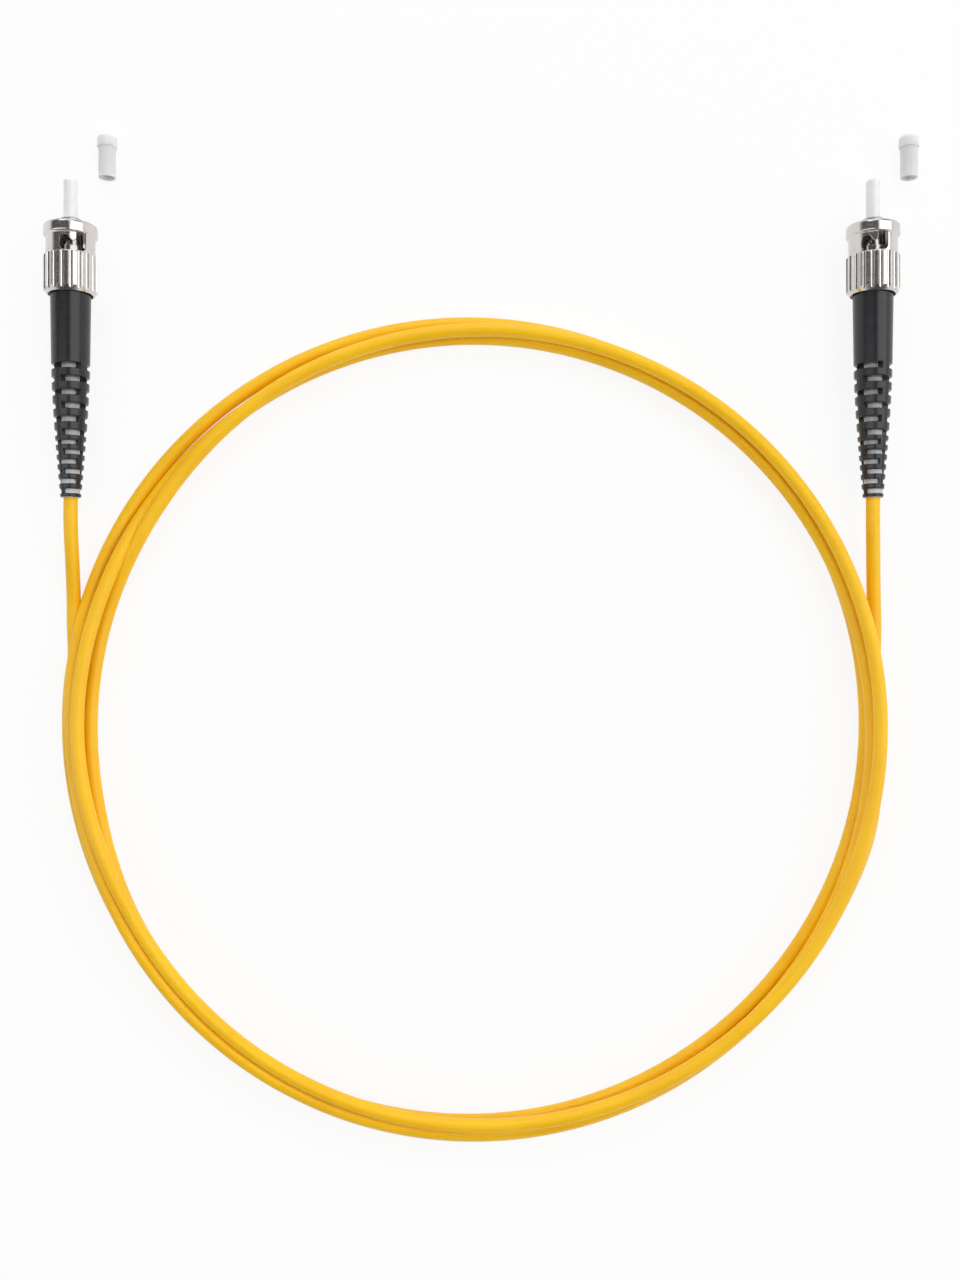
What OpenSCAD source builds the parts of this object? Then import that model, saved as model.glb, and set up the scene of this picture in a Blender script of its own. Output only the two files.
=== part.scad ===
// Simplex fibre patch cord with an ST bayonet connector at each end, lying coiled on a table.
// Each connector is drawn along its own +Z axis, with z = 0 at the back end of its coupling nut
// and the ferrule pointing up, and is then laid down so that the ferrule points along +Y.

/* [Layout] */
// Distance between the axes of the two connectors
axis_spacing = 144.4; // [120:0.2:200]
// Roll of each connector about its own axis, towards the middle
roll = 18; // [-90:1:90]
// Sideways distance of dust cap A from the axis of connector A
cap_a_side = 5.7; // [5.2:0.1:15]
// Sideways distance of dust cap B from the axis of connector B
cap_b_side = 7.5; // [5.2:0.1:15]
// Distance from the ferrule's tip to the open end of its cap, along the axis
cap_ahead = 1.3; // [0.5:0.1:10]

/* [Ferrule and fibre] */
// Diameter of the ceramic ferrule
ferrule_d = 2.5; // [2:0.05:2.8]
// Length of the ferrule in front of the barrel's collar
ferrule_reach = 7.3; // [4:0.1:10]
// Length of the ferrule seated in the barrel
ferrule_seat = 5.6; // [3:0.1:6]
// Width of the bevel round the ferrule's tip
ferrule_bevel = 0.45; // [0.1:0.05:0.7]
// Height of the polished dome at the ferrule's tip
ferrule_dome = 0.12; // [0.05:0.01:0.3]
// Taper of the ferrule's seated end, where it is pressed in
ferrule_taper = 0.005; // [0.002:0.001:0.01]
// Diameter of the bare glass fibre
fibre_d = 0.125; // [0.1:0.005:0.25]
// Diameter of the buffered fibre
buffer_d = 0.9; // [0.6:0.05:1]

/* [Coupling nut] */
// Diameter over the fluted grip
grip_d = 9.4; // [9.2:0.1:11]
// Diameter over the rim at the nut's front
rim_d = 9.4; // [9.2:0.1:11]
// Diameter of the plain sleeve between rim and grip
sleeve_d = 8.6; // [8.2:0.1:8.6]
// Diameter of the nut's bore
nut_bore_d = 7.2; // [7:0.1:7.6]
// Length of the rim
rim_len = 2.3; // [1.6:0.1:3]
// Corner radius of the rim
rim_round = 0.5; // [0.1:0.05:0.7]
// Length of the plain sleeve
sleeve_len = 3.25; // [3.2:0.05:5]
// Length of the fluted grip
grip_len = 6.15; // [5.5:0.05:9]
// Length of the bevel at the nut's back end
back_bevel = 0.8; // [0.2:0.1:1]
// Diameter of the nut's back end
back_d = 8.2; // [8.1:0.1:9]
// Number of flutes round the grip
flutes = 20; // [12:1:24]
// Radius of one flute
flute_r = 0.42; // [0.3:0.02:0.5]
// Depth of one flute
flute_depth = 0.35; // [0.1:0.05:0.4]
// Diameter of the recess at the nut's back, round the boot
recess_d = 7.85; // [7.4:0.05:8]
// Depth of that recess
recess_depth = 1.4; // [1.2:0.1:2]
// Thickness of the lip that the spring pushes back
lip_t = 0.8; // [0.5:0.1:1.2]

/* [Bayonet slots] */
// Number of bayonet slots
slots = 2; // [1:1:3]
// Width of a slot, which takes the adapter's lug
slot_w = 1.75; // [1.4:0.05:1.8]
// Diameter that the slots reach, hidden under the rim
slot_reach_d = 8.9; // [8.8:0.1:9.1]
// Turn from the entry to the locking pocket, in degrees
slot_turn = 38; // [36:1:60]
// Distance from the nut's front to the front edge of the pocket
pocket_edge = 2.75; // [2.4:0.05:3]
// Distance from the nut's front to the back edge of the slot
slot_edge = 5.45; // [5.3:0.05:5.5]
// Angle of the first slot's entry round the nut
entry_angle = -65.5; // [-180:0.5:180]

/* [Barrel] */
// Diameter of the collar round the ferrule
collar_d = 4.3; // [3.6:0.1:4.6]
// Length of the collar in front of the nut
collar_reach = 1.1; // [0.5:0.1:2]
// Bevel at the collar's front edge
collar_bevel = 0.25; // [0.05:0.05:0.4]
// Diameter of the barrel's shoulder and stem, which the nut's lip runs on
stem_d = 5; // [4.8:0.1:5.6]
// Distance from the nut's front to the shoulder's step
shoulder_edge = 4.05; // [3:0.05:5]
// Distance from the nut's front to the flange, which the adapter's barrel stops at
flange_edge = 5.7; // [5.5:0.1:6.5]
// Diameter of the flange
flange_d = 6.8; // [6.2:0.1:6.9]
// Thickness of the flange
flange_t = 0.8; // [0.5:0.1:1.2]
// Width of the key on the collar
key_w = 0.9; // [0.6:0.1:1.4]
// Radius that the key reaches
key_r = 3.3; // [2.9:0.1:3.4]
// Length of the key
key_len = 3; // [1.5:0.1:3.5]
// Length of the stem behind the nut
stem_back = 2.6; // [1.5:0.1:4]
// Diameter of the crimp neck
neck_d = 3.5; // [3.2:0.1:3.8]
// Length of the crimp neck
neck_len = 5.6; // [4:0.1:8]
// Depth of the gripping grooves round the neck
neck_groove = 0.15; // [0.05:0.05:0.2]
// Number of gripping grooves
neck_grooves = 6; // [3:1:8]

/* [Spring and rings] */
// Diameter of the spring's wire
wire_d = 0.35; // [0.25:0.05:0.4]
// Outer diameter of the spring
spring_d = 6.6; // [6.3:0.1:6.8]
// Turns of the spring between its closed end turns
spring_turns = 2.5; // [2:0.5:3]
// Thickness of the thrust washer
washer_t = 0.3; // [0.2:0.05:0.4]
// Diameter of the thrust washer
washer_d = 6.9; // [6.6:0.05:6.9]
// Thickness of the retaining ring
ring_t = 0.45; // [0.3:0.05:0.5]
// Diameter of the retaining ring
ring_d = 6.2; // [5.8:0.1:6.6]
// Depth of the groove that the retaining ring sits in
ring_seat = 0.3; // [0.2:0.05:0.5]
// Opening of the retaining ring, in degrees
ring_gap = 70; // [40:5:120]

/* [Crimp and cable] */
// Diameter of the cable's jacket
cable_d = 2.5; // [2:0.1:2.8]
// Wall of the cable's jacket
jacket_t = 0.35; // [0.25:0.05:0.4]
// Thickness of the yarn under the crimp sleeve
yarn_t = 0.2; // [0.1:0.05:0.25]
// Wall of the crimp sleeve
crimp_t = 0.4; // [0.3:0.05:0.5]
// Length of the crimp sleeve's thin end, on the jacket
crimp_tail = 3.2; // [2:0.1:3.4]

/* [Boot] */
// Diameter of the boot's front end
boot_d = 7.1; // [6.6:0.1:7.3]
// Length of the boot's front end inside the nut
boot_in = 0.7; // [0.3:0.05:0.8]
// Diameter at the end of the smooth part
boot_waist_d = 6.7; // [6.2:0.1:7]
// Diameter of the boot's tail
boot_tail_d = 3.58; // [3.56:0.02:4.4]
// Distance from the nut's back to the first slot
first_slot = 13.05; // [12.8:0.05:16]
// Number of slots at the wide pitch
slots_wide = 6; // [4:1:6]
// Number of slots at the fine pitch
slots_fine = 6; // [4:1:7]
// Wide pitch
pitch_wide = 2.38; // [2.2:0.02:2.6]
// Fine pitch
pitch_fine = 1.73; // [1.65:0.01:2]
// Width of a slot at the wide pitch
gap_wide = 1; // [0.6:0.05:1.2]
// Width of a slot at the fine pitch
gap_fine = 0.8; // [0.5:0.05:0.9]
// Bevel on the edges of the slots
gap_bevel = 0.12; // [0.04:0.02:0.2]
// Angle that each of the two bridges of a slot takes, in degrees
bridge_angle = 26; // [15:1:50]
// Wall left round the cable in the slots
boot_core_t = 0.3; // [0.2:0.05:0.35]
// Distance from the last slot's middle to the boot's tail end
tail_ring = 1.07; // [0.8:0.01:2]

/* [Dust cap] */
// Outer diameter of the dust cap's tube
cap_d = 3.1; // [3:0.05:3.4]
// Diameter of the cap's grip
cap_grip_d = 3.6; // [3.5:0.05:4.4]
// Length of the cap's grip
cap_grip_len = 2.1; // [1.5:0.1:3]
// Length of the cap
cap_len = 7.6; // [6:0.1:10]
// Thickness of the cap's closed end
cap_end_t = 1.2; // [0.6:0.1:2]
// Rounding of the grip's end
cap_round = 0.6; // [0.1:0.05:0.8]

/* [Cable coil] */
// Radius of the coil's middle line
coil_r = 72.1; // [60:0.1:90]
// Width of the coiled bundle
coil_w = 7.6; // [5:0.1:10]
// Height of the coiled bundle
coil_h = 8.4; // [5:0.1:10]
// Distance from the nuts' back ends to the middle of the coil
coil_back = 78.2; // [70:0.1:100]
// Distance of the coil's middle to the right of the connectors' middle
coil_side = 0.6; // [-5:0.1:5]

/* [Clearances] */
// Radial clearance of a running fit
run_gap = 0.1; // [0.02:0.01:0.15]
// Gap between flat faces that meet and move
face_gap = 0.05; // [0.02:0.01:0.1]
// Radial gap of pieces that are pressed, glued or crimped together
seat_gap = 0.01; // [0.005:0.005:0.03]

/* [Hidden] */
eps = 0.5;

// Heights along a connector's axis
grip_top = back_bevel + grip_len;
sleeve_top = grip_top + sleeve_len;
nut_len = sleeve_top + rim_len;
collar_top = nut_len + collar_reach;
tip = collar_top + ferrule_reach;
ferrule_back = collar_top - ferrule_seat;
shoulder_top = nut_len - shoulder_edge;
flange_top = nut_len - flange_edge;
flange_back = flange_top - flange_t;
lip_top = recess_depth + lip_t;
washer_back = lip_top + face_gap;
washer_top = washer_back + washer_t;
ring_top = recess_depth - face_gap;
stem_end = -stem_back;
neck_end = stem_end - neck_len;
crimp_step = neck_end - yarn_t;
crimp_shoulder = crimp_step - crimp_t;
crimp_end = crimp_shoulder - crimp_tail;
slot_count = slots_wide + slots_fine;
boot_end = slot_height(slot_count - 1) - tail_ring;
cap_start = tip + cap_ahead;
cap_end = cap_start + cap_len;

// Radii that pieces share
lip_r = stem_d / 2 + run_gap;
cable_bore_r = cable_d / 2 + seat_gap;
yarn_r = neck_d / 2 + seat_gap + yarn_t;
crimp_r = yarn_r + seat_gap + crimp_t;
boot_core_r = cable_bore_r + boot_core_t;
boot_bore_r = max(stem_d / 2, crimp_r) + seat_gap;

// Place of the connectors: the origin is in the middle of the two connectors and their caps,
// on the table that the nuts lie on
axis_h = max(grip_d, rim_d) / 2;
left_edge = -axis_h;
right_edge = axis_spacing + cap_b_side + cap_grip_d / 2;
axis_a_x = -(left_edge + right_edge) / 2;
axis_b_x = axis_a_x + axis_spacing;
nut_back_y = -(cap_end + boot_end) / 2;
coil_x = (axis_a_x + axis_b_x) / 2 + coil_side;
coil_y = nut_back_y - coil_back;

// Free stretches of the cable, from the boots down to the table and into the coil
tail_a_points = [
    [-74.5, -33.1, 4.7], [-74.5, -38, 4.7], [-74.6, -44, 3.6],
    [-74.8, -50, 2.2], [-75, -56, 1.4], [-75, -62, 1.3]
];
tail_b_points = [
    [69.9, -33.1, 4.7], [69.9, -38, 4.7], [70.3, -44, 3.6],
    [70.8, -50, 2.2], [71.2, -56, 1.4], [71.4, -62, 1.3]
];

// Height of slot i of the boot, the first one being 0
function slot_height(i) =
    -first_slot - min(i, slots_wide - 1) * pitch_wide - max(0, i - slots_wide + 1) * pitch_fine;

// Outer radius of the boot at height z, in the slotted part: it falls faster towards the tail
function boot_r(z) =
    let (t = (-first_slot - z) / (-first_slot - boot_end))
    boot_waist_d / 2 - (boot_waist_d - boot_tail_d) / 2 * pow(max(0, t), 1.4);

// Points of an arc round c, from angle a0 to a1, in n steps
function arc(c, r, a0, a1, n = 6) =
    [for (i = [0:n]) let (a = a0 + (a1 - a0) * i / n) c + r * [cos(a), sin(a)]];

function unit(v) = v / norm(v);

// Direction of a path at its point i
function heading(path, i) =
    unit(path[min(i + 1, len(path) - 1)] - path[max(i - 1, 0)]);

// A round tube swept along a path, as one closed solid
module sweep(path, r, sides = 8) {
    rings = len(path);
    points = [
        for (i = [0:rings - 1])
            let (
                along = heading(path, i),
                side = unit(cross(along, abs(along[2]) > 0.9 ? [1, 0, 0] : [0, 0, 1])),
                up = cross(side, along)
            )
            for (k = [0:sides - 1])
                path[i] + r * (cos(360 * k / sides) * side + sin(360 * k / sides) * up)
    ];
    walls = [
        for (i = [0:rings - 2])
            for (k = [0:sides - 1])
                let (next = (k + 1) % sides)
                [i * sides + k, i * sides + next, (i + 1) * sides + next, (i + 1) * sides + k]
    ];
    first = [for (k = [sides - 1:-1:0]) k];
    last = [for (k = [0:sides - 1]) (rings - 1) * sides + k];
    polyhedron(points, concat([first], walls, [last]), convexity = 10);
}

// A plain ring between two radii and two heights
module ring(inner, outer, low, high) {
    rotate_extrude($fn = 64)
        translate([inner, low])
            square([outer - inner, high - low]);
}

// Lays a connector's piece down at its axis, turned by its roll
module laid(axis_x, turn) {
    translate([axis_x, nut_back_y, axis_h])
        rotate([-90, 0, 0])
            rotate([0, 0, turn])
                children();
}

module connector_a() {
    laid(axis_a_x, roll)
        children();
}

module connector_b() {
    laid(axis_b_x, -roll)
        children();
}

// Ferrule: ground ceramic cylinder with a bevelled, domed tip and a bore for the fibre
module ferrule() {
    r = ferrule_d / 2;
    bore = fibre_d / 2 + seat_gap;
    color("ghostwhite")
        rotate_extrude($fn = 64)
            polygon(concat([
                [bore, ferrule_back + ferrule_bevel],
                [buffer_d / 4, ferrule_back],
                [r - ferrule_bevel / 2, ferrule_back],
                [r - ferrule_taper, ferrule_back + ferrule_bevel / 2],
                [r, collar_top]
            ],
            arc([r - ferrule_bevel, tip - ferrule_dome - ferrule_bevel], ferrule_bevel, 0, 90),
            [[(r - ferrule_bevel) / 2, tip - ferrule_dome / 4], [bore, tip]]
            ));
}

// Bare fibre, from the ferrule's polished tip to the boot's tail
module fibre() {
    color("lightcyan")
        translate([0, 0, boot_end])
            cylinder(r = fibre_d / 2, h = tip - boot_end, $fn = 32);
}

// Tight buffer round the fibre, up to the back of the ferrule
module buffer() {
    color("white")
        ring(fibre_d / 2 + seat_gap, buffer_d / 2, boot_end, ferrule_back - face_gap);
}

// Barrel: turned body with collar, shoulder, flange, stem, ring groove and crimp neck
module barrel() {
    seat_r = ferrule_d / 2 + seat_gap;
    bore_r = buffer_d / 2 + run_gap;
    groove_pitch = neck_len / (neck_grooves + 1);
    color("silver")
        difference() {
            union() {
                rotate_extrude($fn = 64)
                    polygon([
                        [bore_r, neck_end], [neck_d / 2, neck_end], [neck_d / 2, stem_end],
                        [stem_d / 2, stem_end], [stem_d / 2, flange_back],
                        [flange_d / 2, flange_back], [flange_d / 2, flange_top],
                        [stem_d / 2, flange_top], [stem_d / 2, shoulder_top],
                        [collar_d / 2, shoulder_top], [collar_d / 2, collar_top - collar_bevel],
                        [collar_d / 2 - collar_bevel, collar_top], [seat_r, collar_top],
                        [seat_r, ferrule_back], [bore_r, ferrule_back]
                    ]);
                translate([seat_r + (collar_d / 2 - seat_r) / 2, -key_w / 2, shoulder_top])
                    cube([key_r - seat_r - (collar_d / 2 - seat_r) / 2, key_w, key_len]);
            }
            ring(stem_d / 2 - ring_seat, stem_d, ring_top - ring_t - face_gap, ring_top);
            for (i = [1:neck_grooves])
                translate([0, 0, neck_end + i * groove_pitch])
                    ring(neck_d / 2 - neck_groove, neck_d, -groove_pitch / 4, groove_pitch / 4);
        }
}

// Retaining ring: open ring that snaps into the barrel's groove behind the nut's lip
module retaining_ring() {
    color("dimgray")
        rotate([0, 0, ring_gap / 2])
            rotate_extrude(angle = 360 - ring_gap, $fn = 64)
                translate([stem_d / 2 - ring_seat + seat_gap, ring_top - ring_t])
                    square([ring_d / 2 - stem_d / 2 + ring_seat - seat_gap, ring_t]);
}

// Thrust washer on the front of the nut's lip
module thrust_washer() {
    color("gainsboro")
        ring(lip_r, washer_d / 2, washer_back, washer_top);
}

// Coupling spring, with closed end turns that bear on the washer and on the flange
module coupling_spring() {
    low = washer_top + face_gap + wire_d / 2;
    high = flange_back - face_gap - wire_d / 2;
    closed = 0.75;
    turns = spring_turns + 2 * closed;
    steps = 20;
    mean_r = (spring_d - wire_d) / 2;
    rise = high - low - 2 * wire_d;
    path = [
        for (i = [0:turns * steps])
            let (
                t = i / steps,
                end_rise = wire_d * (min(t, closed) + max(0, t - turns + closed)) / closed,
                free_rise = rise * max(0, min(1, (t - closed) / spring_turns))
            )
            [mean_r * cos(360 * t), mean_r * sin(360 * t), low + end_rise + free_rise]
    ];
    color("lightsteelblue")
        sweep(path, wire_d / 2);
}

// Outline of the coupling nut, revolved: back recess, lip and bore inside, bevel, grip, sleeve
// and rounded rim outside
module nut_blank() {
    rim_r = rim_d / 2;
    step = (grip_d - sleeve_d) / 2;
    mouth = rim_round / 2;
    wrap_under = 40;
    rotate_extrude($fn = 96)
        polygon(concat(
            [
                [recess_d / 2, 0], [back_d / 2, 0], [grip_d / 2, back_bevel],
                [grip_d / 2, grip_top - step / 2], [sleeve_d / 2, grip_top],
                [sleeve_d / 2, sleeve_top]
            ],
            arc([rim_r - rim_round, sleeve_top + rim_round], rim_round, -wrap_under, 0),
            arc([rim_r - rim_round, nut_len - rim_round], rim_round, 0, 90),
            [
                [nut_bore_d / 2 + mouth, nut_len], [nut_bore_d / 2, nut_len - mouth],
                [nut_bore_d / 2, lip_top], [lip_r, lip_top], [lip_r, recess_depth],
                [recess_d / 2, recess_depth]
            ]
        ));
}

// Outline of a slot seen square on, with the nut's axis upright: entry from the front, channel
// round, and back up into the pocket, with a rounded tongue left between the two legs
module slot_outline() {
    half = slot_w / 2;
    side = sleeve_d / 2 * sin(slot_turn / 2);
    tongue_r = side - half;
    channel_z = nut_len - slot_edge + half;
    pocket_z = nut_len - pocket_edge - half;
    tongue_z = channel_z + half + tongue_r;
    polygon(concat(
        [[side + half, nut_len + eps]],
        arc([side, channel_z], half, 0, -90),
        arc([-side, channel_z], half, -90, -180),
        arc([-side, pocket_z], half, 180, 0, 12),
        arc([0, tongue_z], tongue_r, 180, 360, 12),
        [[side - half, nut_len + eps]]
    ));
}

// Space that an adapter's lug travels in, through the sleeve and hidden under the rim
module bayonet_slot(entry) {
    rotate([0, 0, entry - slot_turn / 2])
        intersection() {
            rotate([90, 0, 90])
                linear_extrude(slot_reach_d)
                    slot_outline();
            cylinder(d = slot_reach_d, h = nut_len + 2 * eps, $fn = 96);
        }
}

// Coupling nut: bayonet slots through the sleeve, flutes along the grip
module coupling_nut() {
    color("silver")
        difference() {
            nut_blank();
            for (i = [0:flutes - 1])
                rotate([0, 0, 360 * i / flutes])
                    translate([grip_d / 2 + flute_r - flute_depth, 0, -eps])
                        cylinder(r = flute_r, h = grip_top + 2 * eps, $fn = 32);
            for (i = [0:slots - 1])
                bayonet_slot(entry_angle + 360 * i / slots);
        }
}

// Aramid yarn: a layer round the crimp neck that closes down into the cable's jacket
module aramid_yarn() {
    inner_r = buffer_d / 2 + seat_gap;
    core_r = cable_d / 2 - jacket_t - seat_gap;
    color("khaki")
        rotate_extrude($fn = 64)
            polygon([
                [inner_r, boot_end], [core_r, boot_end], [core_r, crimp_step],
                [yarn_r, crimp_step], [yarn_r, stem_end - face_gap],
                [neck_d / 2 + seat_gap, stem_end - face_gap],
                [neck_d / 2 + seat_gap, neck_end - seat_gap], [inner_r, neck_end - seat_gap]
            ]);
}

// Crimp sleeve: wide over the yarn, narrow over the jacket
module crimp_sleeve() {
    wide_r = yarn_r + seat_gap;
    thin_r = cable_bore_r + crimp_t;
    color("darkgray")
        rotate_extrude($fn = 64)
            polygon([
                [cable_bore_r, crimp_end], [thin_r, crimp_end], [thin_r, crimp_shoulder],
                [crimp_r, crimp_step], [crimp_r, stem_end - face_gap],
                [wide_r, stem_end - face_gap], [wide_r, crimp_step - seat_gap],
                [cable_bore_r, crimp_step - seat_gap]
            ]);
}

// The cable's jacket inside the crimp sleeve and the boot
module jacket() {
    color("gold")
        ring(cable_d / 2 - jacket_t, cable_d / 2, boot_end, crimp_step - 2 * seat_gap);
}

// Section of the space of one boot slot, at height 0, with bevelled edges
module boot_gap_section(gap, outer) {
    half = gap / 2;
    polygon([
        [boot_core_r, -half], [outer - gap_bevel, -half], [outer + gap_bevel, -half - 2 * gap_bevel],
        [outer + gap_bevel, half + 2 * gap_bevel], [outer - gap_bevel, half], [boot_core_r, half]
    ]);
}

// Strain-relief boot: smooth front, then slots in pairs, each pair a quarter turn from the last
module boot() {
    step_z = crimp_end - boot_core_t;
    top = boot_in;
    edge = 0.3;
    stations = [for (i = [0:slot_count - 1]) slot_height(i)];
    color("#2b2c31")
        difference() {
            rotate_extrude($fn = 96)
                polygon(concat(
                    [
                        [cable_bore_r, boot_end], [boot_tail_d / 2 - edge / 2, boot_end],
                        [boot_tail_d / 2, boot_end + edge / 2]
                    ],
                    [for (i = [slot_count - 1:-1:0]) [boot_r(stations[i]), stations[i]]],
                    [
                        [boot_d / 2, top - edge], [boot_d / 2 - edge, top], [boot_bore_r, top],
                        [boot_bore_r, crimp_shoulder], [cable_bore_r + crimp_t + seat_gap, crimp_end],
                        [cable_bore_r, step_z]
                    ]
                ));
            for (i = [0:slot_count - 1])
                for (side = [0, 180])
                    translate([0, 0, stations[i]])
                        rotate([0, 0, side - 45 + bridge_angle / 2 - 90 * (i % 2)])
                            rotate_extrude(angle = 180 - bridge_angle, $fn = 96)
                                boot_gap_section(i < slots_wide ? gap_wide : gap_fine,
                                    boot_r(stations[i]));
        }
}

// Dust cap: a tube that fits the ferrule, with a thicker rounded grip at its closed end
module dust_cap() {
    bore_r = ferrule_d / 2 + 2 * seat_gap;
    grip_r = cap_grip_d / 2;
    grip_z = cap_len - cap_grip_len;
    edge = 0.1;
    color("whitesmoke", 0.6)
        rotate_extrude($fn = 64)
            polygon(concat(
                [
                    [bore_r + edge, 0], [cap_d / 2 - edge, 0], [cap_d / 2, edge],
                    [cap_d / 2, grip_z], [grip_r - edge, grip_z], [grip_r, grip_z + edge]
                ],
                arc([grip_r - cap_round, cap_len - cap_round], cap_round, 0, 90),
                [[0, cap_len], [0, cap_len - cap_end_t], [bore_r, cap_len - cap_end_t], [bore_r, edge]]
            ));
}

// Places a dust cap on the table, beside its connector and open towards the ferrule
module cap_at(axis_x, side) {
    translate([axis_x + side, nut_back_y + cap_start, cap_grip_d / 2])
        rotate([-90, 0, 0])
            dust_cap();
}

// Outer shape of the coiled turns
module cable_coil() {
    half = coil_w / 2;
    round_r = min(coil_w, coil_h) / 3;
    color("gold")
        translate([coil_x, coil_y, 0])
            rotate_extrude($fn = 128)
                polygon(concat(
                    arc([coil_r + half - round_r, round_r], round_r, -90, 0),
                    arc([coil_r + half - round_r, coil_h - round_r], round_r, 0, 90),
                    arc([coil_r - half + round_r, coil_h - round_r], round_r, 90, 180),
                    arc([coil_r - half + round_r, round_r], round_r, 180, 270)
                ));
}

module cable_tail(points) {
    color("gold")
        sweep(points, cable_d / 2);
}

connector_a() ferrule();  // ferrule_a
connector_a() fibre();  // fibre_a
connector_a() buffer();  // buffer_a
connector_a() barrel();  // barrel_a
connector_a() coupling_nut();  // coupling_nut_a
connector_a() coupling_spring();  // coupling_spring_a
connector_a() thrust_washer();  // thrust_washer_a
connector_a() retaining_ring();  // retaining_ring_a
connector_a() aramid_yarn();  // aramid_yarn_a
connector_a() crimp_sleeve();  // crimp_sleeve_a
connector_a() jacket();  // jacket_a
connector_a() boot();  // boot_a
cap_at(axis_a_x, cap_a_side);  // dust_cap_a
connector_b() ferrule();  // ferrule_b
connector_b() fibre();  // fibre_b
connector_b() buffer();  // buffer_b
connector_b() barrel();  // barrel_b
connector_b() coupling_nut();  // coupling_nut_b
connector_b() coupling_spring();  // coupling_spring_b
connector_b() thrust_washer();  // thrust_washer_b
connector_b() retaining_ring();  // retaining_ring_b
connector_b() aramid_yarn();  // aramid_yarn_b
connector_b() crimp_sleeve();  // crimp_sleeve_b
connector_b() jacket();  // jacket_b
connector_b() boot();  // boot_b
cap_at(axis_b_x, cap_b_side);  // dust_cap_b
cable_coil();
cable_tail(tail_a_points);  // cable_tail_a
cable_tail(tail_b_points);  // cable_tail_b
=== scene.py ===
import math

import bpy
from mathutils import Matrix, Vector


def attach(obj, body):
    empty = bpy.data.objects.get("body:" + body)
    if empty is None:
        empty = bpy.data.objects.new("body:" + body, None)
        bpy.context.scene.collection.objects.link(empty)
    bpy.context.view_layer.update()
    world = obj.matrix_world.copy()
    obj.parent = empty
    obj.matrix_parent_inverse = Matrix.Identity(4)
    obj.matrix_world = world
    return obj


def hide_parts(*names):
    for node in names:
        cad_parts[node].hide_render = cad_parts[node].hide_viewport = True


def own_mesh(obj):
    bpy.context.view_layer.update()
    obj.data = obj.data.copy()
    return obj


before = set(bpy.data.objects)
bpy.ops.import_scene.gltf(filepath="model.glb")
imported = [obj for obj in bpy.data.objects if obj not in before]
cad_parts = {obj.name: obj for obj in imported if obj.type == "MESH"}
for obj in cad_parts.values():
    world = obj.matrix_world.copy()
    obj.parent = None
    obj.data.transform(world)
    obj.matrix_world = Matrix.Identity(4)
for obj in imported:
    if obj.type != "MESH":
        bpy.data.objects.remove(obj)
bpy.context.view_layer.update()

CONNECTORS = {"a": (-0.0745, 18.0), "b": (0.0699, -18.0)}  # axis x, roll in degrees
AXIS_Z = 0.0047
NUT_BACK = 0.0033
FLANGE_Y = 0.0093


# Camera: straight above the cord, with the connectors pointing up the picture

EYE = Vector((-0.00083, -0.0587, 0.2287))
camera = bpy.data.objects.new("camera", bpy.data.cameras.new("camera"))
bpy.context.scene.collection.objects.link(camera)
camera.location = EYE
camera.data.sensor_width = 36
camera.data.lens = 35.0
camera.data.clip_start = 0.01
bpy.context.scene.camera = camera


# Cord: tail a, three and a half turns of the coil, tail b

CORD_D = 0.0025
COIL = Vector((-0.0017, -0.0749, 0))
TAIL_A = [
    (-0.0745, -0.0331, 0.0047), (-0.0745, -0.038, 0.0047), (-0.0746, -0.044, 0.0036),
    (-0.0748, -0.05, 0.0022), (-0.075, -0.056, 0.0014),
]
TAIL_B = [
    (0.0699, -0.0331, 0.0047), (0.0699, -0.038, 0.0047), (0.0703, -0.044, 0.0036),
    (0.0708, -0.05, 0.0022), (0.0712, -0.056, 0.0014),
]
# The circles that the turns follow, as they look from above: centre and radius
TURN_1 = (-0.00315, -0.07388, 0.0732)
TURN_2 = (-0.00033, -0.07485, 0.07314)
TURN_3 = (-0.00193, -0.07633, 0.07314)
START, STOP, STEP = 170, 1448, 2  # degrees round the coil
ROUND = 360 // STEP
# Changes along the cord: from which degree, and over how many
TO_TURN_3 = (525, 40)
TO_TURN_2 = (893, 40)
DIVE_IN = (1195, 36)
DIVE_OUT = (1268, 25)
UNDER_TURN_3 = (1292, 36)
UNDER_TURN_2 = (1380, 20)
TO_TAIL_B = (1415, 25)
SINK = (1218, 38)
SINK_AREA = 1200
DIVE_DEPTH = 0.0011
UNDER_OFFSET = 0.0001
TAIL_B_X = 0.07173
LAYER_STARTS = (530, 890, 1236)
SETTLING = 80


def ease(t):
    t = min(1.0, max(0.0, t))
    return t * t * (3 - 2 * t)


def passed(s, change):
    return ease((s - change[0]) / change[1])


def reach(circle, angle):
    """Distance from the coil's middle to a circle, in one direction."""
    dx, dy = circle[0] - COIL.x, circle[1] - COIL.y
    along = dx * math.cos(angle) + dy * math.sin(angle)
    return along + math.sqrt(circle[2] ** 2 - (dx * dx + dy * dy - along * along))


def soften(values, spread):
    n = int(4 * spread) + 1
    weights = [math.exp(-0.5 * (k / spread) ** 2) for k in range(-n, n + 1)]
    total = sum(weights)
    last = len(values) - 1
    return [
        sum(w * values[min(last, max(0, i + k))] for w, k in zip(weights, range(-n, n + 1))) / total
        for i in range(last + 1)
    ]


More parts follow.
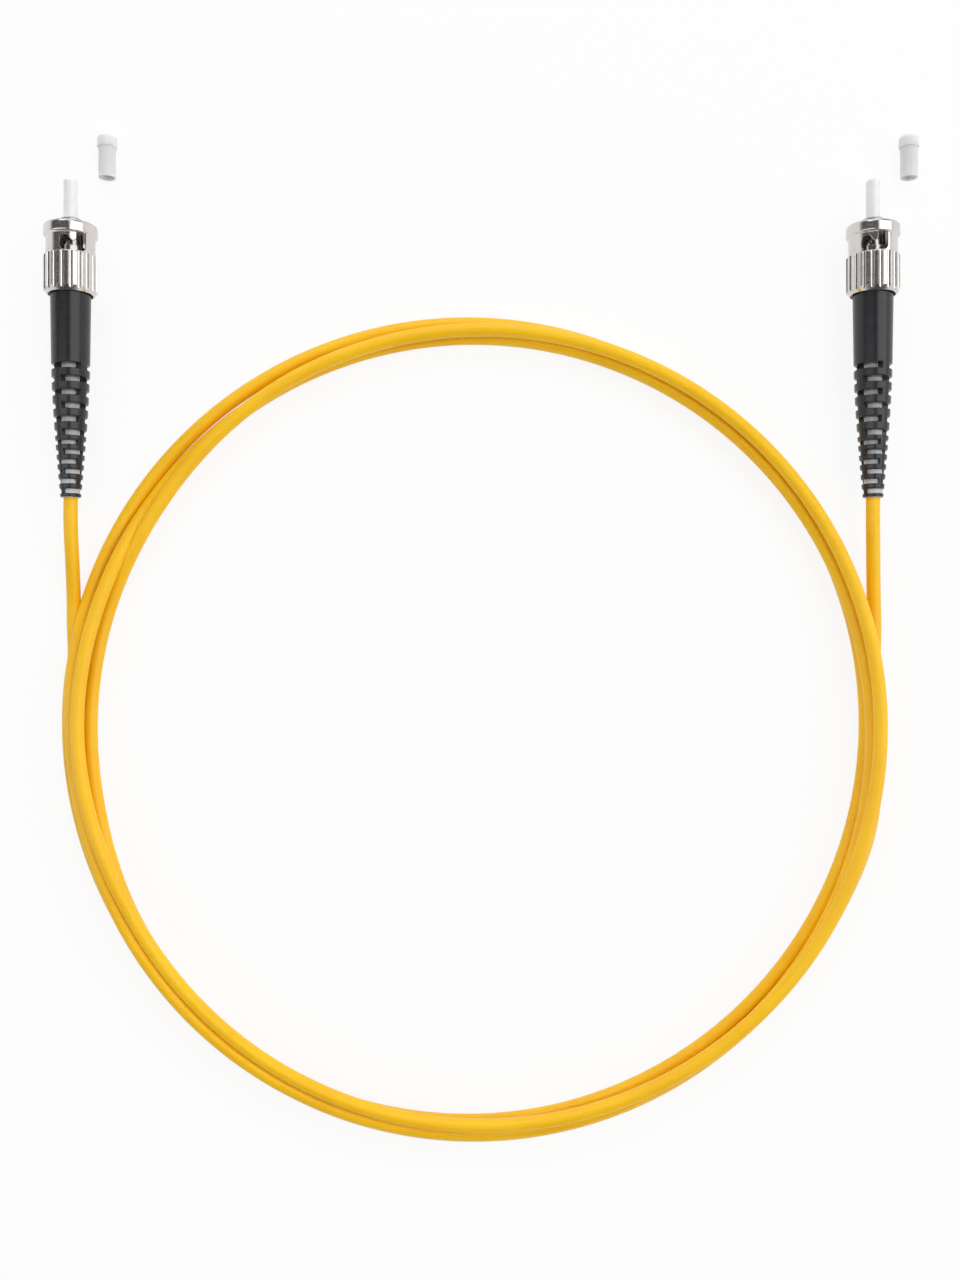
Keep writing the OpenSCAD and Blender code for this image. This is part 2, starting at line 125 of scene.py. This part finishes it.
def seen_radius(s):
    """Radius of the cord at s degrees, as it looks from above: it changes lanes as it goes round."""
    angle = math.radians(s)
    one, two, three = (reach(c, angle) for c in (TURN_1, TURN_2, TURN_3))
    r = one + (three - one) * passed(s, TO_TURN_3)
    r += (two - r) * passed(s, TO_TURN_2)
    r -= DIVE_DEPTH * passed(s, DIVE_IN) * (1 - passed(s, DIVE_OUT))
    r += (three + UNDER_OFFSET - r) * passed(s, UNDER_TURN_3)
    r += (two - r) * passed(s, UNDER_TURN_2)
    if s > TO_TAIL_B[0]:
        r += ((TAIL_B_X - COIL.x) / math.cos(angle) - r) * passed(s, TO_TAIL_B)
    return r


def layer(s):
    """Higher layers lie on lower ones; the last stretch lies beneath all of them."""
    first, second, beneath = LAYER_STARTS
    if s >= beneath:
        return -1
    return (s >= first) + (s >= second)


def coil_points():
    """Points of the coiled cord, each turn lifted until it rests on those below it."""
    turn = [START + STEP * i for i in range((STOP - START) // STEP + 1)]
    seen = soften([seen_radius(s) for s in turn], 2)
    layers = [layer(s) for s in turn]
    count = len(turn)
    rest = CORD_D / 2
    z = [rest] * count
    for _ in range(SETTLING):
        flat = []
        for s, r, h in zip(turn, seen, z):
            a = math.radians(s)
            x, y = COIL.x + r * math.cos(a), COIL.y + r * math.sin(a)
            flat.append((x + (EYE.x - x) * h / EYE.z, y + (EYE.y - y) * h / EYE.z))
        real = [math.hypot(x - COIL.x, y - COIL.y) for x, y in flat]
        lifted = []
        for i in range(count):
            low = rest
            for j in range(i % ROUND, count, ROUND):
                gap = abs(real[i] - real[j])
                if layers[j] < layers[i] and gap < CORD_D:
                    low = max(low, z[j] + math.sqrt(CORD_D ** 2 - gap * gap))
            if turn[i] > SINK_AREA:
                low += (rest - low) * passed(turn[i], SINK)
            lifted.append(low)
        wide = [
            lifted[i] if turn[i] > SINK_AREA else max(lifted[max(0, i - 2):i + 3])
            for i in range(count)
        ]
        z = [(old + new) / 2 for old, new in zip(z, soften(wide, 2.5))]
    return [(x, y, h) for (x, y), h in zip(flat, z)]


# Materials


class Nodes:
    """Node tree of one material, with a Principled shader."""

    def __init__(self, name, color, roughness, **sockets):
        self.material = bpy.data.materials.new(name)
        self.material.use_nodes = True
        self.tree = self.material.node_tree
        self.shader = self.tree.nodes["Principled BSDF"]
        self.shader.inputs["Base Color"].default_value = (*color, 1)
        self.shader.inputs["Roughness"].default_value = roughness
        for socket, value in sockets.items():
            self.shader.inputs[socket.replace("_", " ")].default_value = value
        self.shader.inputs["Subsurface Radius"].default_value = (1, 1, 1)
        self.place = self.add("ShaderNodeTexCoord").outputs["Object"]

    def add(self, kind, **settings):
        node = self.tree.nodes.new(kind)
        for key, value in settings.items():
            setattr(node, key, value)
        return node

    def join(self, source, target):
        self.tree.links.new(source, target)

    def scaled(self, scale):
        node = self.add("ShaderNodeMapping")
        node.inputs["Scale"].default_value = scale
        self.join(self.place, node.inputs["Vector"])
        return node.outputs["Vector"]

    def noise(self, scale, detail=3.0, vector=None, roughness=0.5):
        node = self.add("ShaderNodeTexNoise")
        node.inputs["Scale"].default_value = scale
        node.inputs["Detail"].default_value = detail
        node.inputs["Roughness"].default_value = roughness
        self.join(vector or self.place, node.inputs["Vector"])
        return node.outputs["Fac"]

    def ramp(self, factor, *stops):
        node = self.add("ShaderNodeValToRGB")
        for element, (place, color) in zip(node.color_ramp.elements, stops):
            element.position = place
            element.color = (*color, 1)
        self.join(factor, node.inputs["Fac"])
        return node.outputs["Color"]

    def range(self, factor, low, high, from_low=0.0, from_high=1.0):
        node = self.add("ShaderNodeMapRange")
        node.inputs["From Min"].default_value = from_low
        node.inputs["From Max"].default_value = from_high
        node.inputs["To Min"].default_value = low
        node.inputs["To Max"].default_value = high
        self.join(factor, node.inputs["Value"])
        return node.outputs["Result"]

    def blend(self, factor, first, second):
        """Colour between a source and a plain colour."""
        node = self.add("ShaderNodeMix", data_type="RGBA")
        self.join(factor, node.inputs[0])
        self.join(first, node.inputs[6])
        node.inputs[7].default_value = (*second, 1)
        return node.outputs[2]

    def color(self, source):
        self.join(source, self.shader.inputs["Base Color"])

    def rough(self, factor, low, high):
        self.join(self.range(factor, low, high), self.shader.inputs["Roughness"])

    def bump(self, *heights, bevel=None):
        """Each height is (source, distance in metres)."""
        normal = None
        if bevel:
            node = self.add("ShaderNodeBevel", samples=6)
            node.inputs["Radius"].default_value = bevel
            normal = node.outputs["Normal"]
        for source, distance in heights:
            node = self.add("ShaderNodeBump")
            node.inputs["Distance"].default_value = distance
            node.inputs["Strength"].default_value = 1.0
            self.join(source, node.inputs["Height"])
            if normal:
                self.join(normal, node.inputs["Normal"])
            normal = node.outputs["Normal"]
        self.join(normal, self.shader.inputs["Normal"])

    def from_axis(self, axis_x):
        """Distance from a connector's axis."""
        move = self.add("ShaderNodeVectorMath", operation="SUBTRACT")
        move.inputs[1].default_value = (axis_x, 0, AXIS_Z)
        self.join(self.place, move.inputs[0])
        flat = self.add("ShaderNodeVectorMath", operation="MULTIPLY")
        flat.inputs[1].default_value = (1, 0, 1)
        self.join(move.outputs["Vector"], flat.inputs[0])
        size = self.add("ShaderNodeVectorMath", operation="LENGTH")
        self.join(flat.outputs["Vector"], size.inputs[0])
        return size.outputs["Value"]


def jacket_yellow():
    m = Nodes("jacket_yellow", (0.98, 0.56, 0.006), 0.38, Specular_IOR_Level=0.38)
    tone = m.noise(90, 4)
    m.color(m.ramp(tone, (0.3, (0.95, 0.515, 0.004)), (0.7, (1.0, 0.585, 0.008))))
    m.rough(m.noise(900, 3), 0.3, 0.42)
    m.bump((m.noise(1600, 3), 0.000004), (m.noise(250, 2), 0.00001))
    return m.material


def boot_black(axis_x):
    m = Nodes("boot_black", (0.03, 0.031, 0.036), 0.42)
    base = m.ramp(m.noise(700, 4), (0.3, (0.008, 0.008, 0.011)), (0.7, (0.013, 0.013, 0.017)))
    painted_floor_highlight = m.range(m.from_axis(axis_x), 1, 0, 0.00166, 0.0017)  # slot floors painted pale grey: a painted highlight standing in for the softbox reflection on them
    m.color(m.blend(painted_floor_highlight, base, (0.56, 0.56, 0.57)))
    m.rough(m.noise(1500, 4), 0.22, 0.32)
    m.bump((m.noise(3500, 4), 0.000003), (m.noise(400, 2), 0.00001), bevel=0.00008)
    return m.material


def nickel(name, color, roughness):
    """Plated or drawn metal with fine turning lines."""
    m = Nodes(name, color, roughness[0], Metallic=1.0)
    lines = m.noise(1, 4, m.scaled((400, 14000, 400)), 0.65)
    cloud = m.noise(450, 4)
    dull = tuple(c * 0.86 for c in color)
    m.color(m.ramp(cloud, (0.25, dull), (0.75, color)))
    m.rough(m.noise(1200, 3), *roughness)
    m.bump((lines, 0.000001), (m.noise(2500, 3), 0.0000012), bevel=0.00006)
    return m.material


def ceramic():
    m = Nodes(
        "zirconia", (0.86, 0.86, 0.87), 0.22, Subsurface_Weight=0.25, Subsurface_Scale=0.0004,
        Coat_Weight=0.3, Coat_Roughness=0.08,
    )
    m.color(m.ramp(m.noise(600, 3), (0.3, (0.83, 0.83, 0.84)), (0.7, (0.88, 0.88, 0.89))))
    m.rough(m.noise(2400, 3), 0.16, 0.3)
    m.bump((m.noise(1, 3, m.scaled((500, 9000, 500))), 0.000003))
    return m.material


def cap_plastic():
    m = Nodes(
        "cap_plastic", (0.96, 0.96, 0.96), 0.3, Transmission_Weight=0.15, IOR=1.4,
        Subsurface_Weight=0.5, Subsurface_Scale=0.0015,
    )
    m.color(m.ramp(m.noise(300, 3), (0.3, (0.95, 0.95, 0.95)), (0.7, (0.98, 0.98, 0.98))))
    m.rough(m.noise(1400, 3), 0.24, 0.4)
    m.bump((m.noise(900, 3), 0.00001))
    return m.material


def glass():
    m = Nodes("glass_fibre", (0.95, 0.98, 0.97), 0.05, Transmission_Weight=1.0, IOR=1.46)
    m.rough(m.noise(3000, 2), 0.02, 0.1)
    m.bump((m.noise(6000, 2), 0.000002))
    return m.material


def buffer_white():
    m = Nodes("buffer_white", (0.78, 0.78, 0.74), 0.4)
    m.color(m.ramp(m.noise(500, 3), (0.3, (0.72, 0.72, 0.68)), (0.7, (0.8, 0.8, 0.76))))
    m.rough(m.noise(2000, 3), 0.32, 0.5)
    m.bump((m.noise(3000, 3), 0.000008))
    return m.material


def aramid():
    m = Nodes("aramid", (0.75, 0.55, 0.12), 0.55, Sheen_Weight=0.4, Sheen_Roughness=0.4)
    strands = m.noise(1, 3, m.scaled((9000, 250, 9000)), 0.6)
    m.color(m.ramp(strands, (0.3, (0.5, 0.34, 0.06)), (0.65, (0.85, 0.66, 0.2))))
    m.rough(strands, 0.65, 0.4)
    m.bump((strands, 0.00006))
    return m.material


def dress(node, material):
    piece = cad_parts[node]
    if not piece.material_slots:
        raise RuntimeError(node + " has no material slot")
    for entry in piece.material_slots:
        entry.material = material


# Pieces

YELLOW = jacket_yellow()


def build_cord():
    points = TAIL_A + coil_points() + TAIL_B[::-1]
    curve = bpy.data.curves.new("cord", "CURVE")
    curve.dimensions = "3D"
    curve.bevel_depth = CORD_D / 2
    curve.bevel_resolution = 8
    curve.resolution_u = 3
    curve.use_fill_caps = True
    spline = curve.splines.new("BEZIER")
    spline.bezier_points.add(len(points) - 1)
    for knot, point in zip(spline.bezier_points, points):
        knot.co = point
        knot.handle_left_type = knot.handle_right_type = "AUTO"
    curve.materials.append(YELLOW)
    cord = bpy.data.objects.new("cord", curve)
    bpy.context.scene.collection.objects.link(cord)
    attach(cord, "root")
    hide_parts("cable_coil", "cable_tail_a", "cable_tail_b")


def tube(name, path, radius, sides, material):
    """Closed round tube along a path, as a smooth mesh."""
    points, faces = [], []
    path = [Vector(p) for p in path]
    for i, centre in enumerate(path):
        along = (path[min(i + 1, len(path) - 1)] - path[max(i - 1, 0)]).normalized()
        out = along.cross(Vector((0, 1, 0))).normalized()
        up = out.cross(along)
        for k in range(sides):
            a = 2 * math.pi * k / sides
            points.append(centre + radius * (math.cos(a) * out + math.sin(a) * up))
    for i in range(len(path) - 1):
        for k in range(sides):
            n, low = (k + 1) % sides, i * sides
            faces.append((low + k, low + n, low + sides + n, low + sides + k))
    faces.append(tuple(range(sides)))
    faces.append(tuple(reversed(range(len(points) - sides, len(points)))))
    mesh = bpy.data.meshes.new(name)
    mesh.from_pydata(points, [], faces)
    mesh.polygons.foreach_set("use_smooth", [len(f) == 4 for f in faces])
    mesh.materials.append(material)
    piece = bpy.data.objects.new(name, mesh)
    bpy.context.scene.collection.objects.link(piece)
    return piece


def build_spring(side, axis_x, roll):
    """Coupling spring between the washer and the flange, with closed end turns."""
    wire, middle_r, closed, free = 0.00035, 0.003125, 0.75, 2.5
    low, high = NUT_BACK + 0.002775, FLANGE_Y - 0.000225
    turns, steps = free + 2 * closed, 36
    path = []
    for i in range(int(turns * steps) + 1):
        t = i / steps
        ends = wire * (min(t, closed) + max(0, t - turns + closed)) / closed
        rise = (high - low - 2 * wire) * min(1, max(0, (t - closed) / free))
        a = 2 * math.pi * t + math.radians(roll)
        x, z = axis_x + middle_r * math.cos(a), AXIS_Z - middle_r * math.sin(a)
        path.append((x, low + ends + rise, z))
    spring = tube("spring_" + side, path, wire / 2, 12, STEEL)
    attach(spring, "root")
    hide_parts("coupling_spring_" + side)
    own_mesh(spring)


build_cord()

STEEL = nickel("spring_steel", (0.55, 0.55, 0.56), (0.2, 0.34))
SATIN = nickel("nut_nickel", (0.72, 0.685, 0.66), (0.14, 0.24))
BARREL = nickel("barrel_nickel", (0.5, 0.48, 0.46), (0.12, 0.24))
CRIMP = nickel("crimp_metal", (0.62, 0.61, 0.6), (0.28, 0.42))
CERAMIC, CAP, GLASS = ceramic(), cap_plastic(), glass()
BUFFER, ARAMID = buffer_white(), aramid()

for side, (axis_x, roll) in CONNECTORS.items():
    for node, material in (
        ("ferrule", CERAMIC), ("fibre", GLASS), ("buffer", BUFFER), ("barrel", BARREL),
        ("coupling_nut", SATIN), ("thrust_washer", STEEL),
        ("retaining_ring", STEEL), ("aramid_yarn", ARAMID), ("crimp_sleeve", CRIMP),
        ("jacket", YELLOW), ("boot", boot_black(axis_x)), ("dust_cap", CAP),
    ):
        dress(node + "_" + side, material)
    build_spring(side, axis_x, roll)


# Floor, world and lamps


def greatest(tree, sources):
    """Greatest of several node outputs."""
    result = sources[0]
    for source in sources[1:]:
        node = tree.nodes.new("ShaderNodeMath")
        node.operation = "MAXIMUM"
        tree.links.new(result, node.inputs[0])
        tree.links.new(source, node.inputs[1])
        result = node.outputs[0]
    return result


def pale_floor():
    mesh = bpy.data.meshes.new("floor")
    half = 3.0
    mesh.from_pydata(
        [(-half, -half, 0), (half, -half, 0), (half, half, 0), (-half, half, 0)], [], [(0, 1, 2, 3)]
    )
    floor = bpy.data.objects.new("floor", mesh)
    bpy.context.scene.collection.objects.link(floor)
    material = bpy.data.materials.new("floor")
    material.use_nodes = True
    tree = material.node_tree
    shader = tree.nodes["Principled BSDF"]
    shader.inputs["Base Color"].default_value = (0.95, 0.95, 0.95, 1)
    shader.inputs["Roughness"].default_value = 0.9
    shader.inputs["Specular IOR Level"].default_value = 0.0
    glow = tree.nodes.new("ShaderNodeEmission")
    glow.inputs["Strength"].default_value = 1.0
    rays = tree.nodes.new("ShaderNodeLightPath")
    kinds = ("Is Camera Ray", "Is Glossy Ray", "Is Transmission Ray")
    also = greatest(tree, [rays.outputs[kind] for kind in kinds])
    share = tree.nodes.new("ShaderNodeMath")
    share.operation = "MULTIPLY"
    share.inputs[1].default_value = 0.88
    tree.links.new(also, share.inputs[0])
    mix = tree.nodes.new("ShaderNodeMixShader")
    tree.links.new(share.outputs[0], mix.inputs[0])
    tree.links.new(shader.outputs[0], mix.inputs[1])
    tree.links.new(glow.outputs[0], mix.inputs[2])
    tree.links.new(mix.outputs[0], tree.nodes["Material Output"].inputs["Surface"])
    mesh.materials.append(material)


def studio_world():
    world = bpy.data.worlds.new("studio")
    bpy.context.scene.world = world
    world.use_nodes = True
    tree = world.node_tree
    back = tree.nodes["Background"]
    place = tree.nodes.new("ShaderNodeTexCoord")
    split = tree.nodes.new("ShaderNodeSeparateXYZ")
    tree.links.new(place.outputs["Generated"], split.inputs[0])
    height = tree.nodes.new("ShaderNodeMapRange")
    height.interpolation_type = "SMOOTHSTEP"
    height.inputs["From Min"].default_value = 0.15
    height.inputs["From Max"].default_value = 0.45
    height.inputs["To Min"].default_value = 1.0
    height.inputs["To Max"].default_value = 0.06
    tree.links.new(split.outputs["Z"], height.inputs["Value"])
    rays = tree.nodes.new("ShaderNodeLightPath")
    level = greatest(tree, [height.outputs["Result"], rays.outputs["Is Camera Ray"]])
    tree.links.new(level, back.inputs["Strength"])
    back.inputs["Color"].default_value = (1, 1, 1, 1)


def softbox(name, tilt, heading, distance, width, depth, watts, tint=(1, 1, 1)):
    """Area lamp aimed at the object from tilt degrees off the vertical, towards heading."""
    data = bpy.data.lights.new(name, "AREA")
    data.shape = "RECTANGLE"
    data.size, data.size_y = width, depth
    data.energy = watts
    data.color = tint
    lamp = bpy.data.objects.new(name, data)
    t, h = math.radians(tilt), math.radians(heading)
    away = Vector((math.sin(t) * math.cos(h), math.sin(t) * math.sin(h), math.cos(t)))
    lamp.location = Vector((-0.002, -0.05, 0)) + away * distance
    lamp.rotation_euler = away.to_track_quat("Z", "Y").to_euler()
    bpy.context.scene.collection.objects.link(lamp)


pale_floor()
studio_world()
softbox("softbox_right", 40, 0, 1.2, 1.15, 1.3, 9.6)
softbox("softbox_left", 34, 180, 1.2, 0.45, 1.3, 3.6)
softbox("softbox_top", 48, 95, 1.2, 1.2, 0.5, 5.6)

scene = bpy.context.scene
scene.view_settings.view_transform = "Standard"
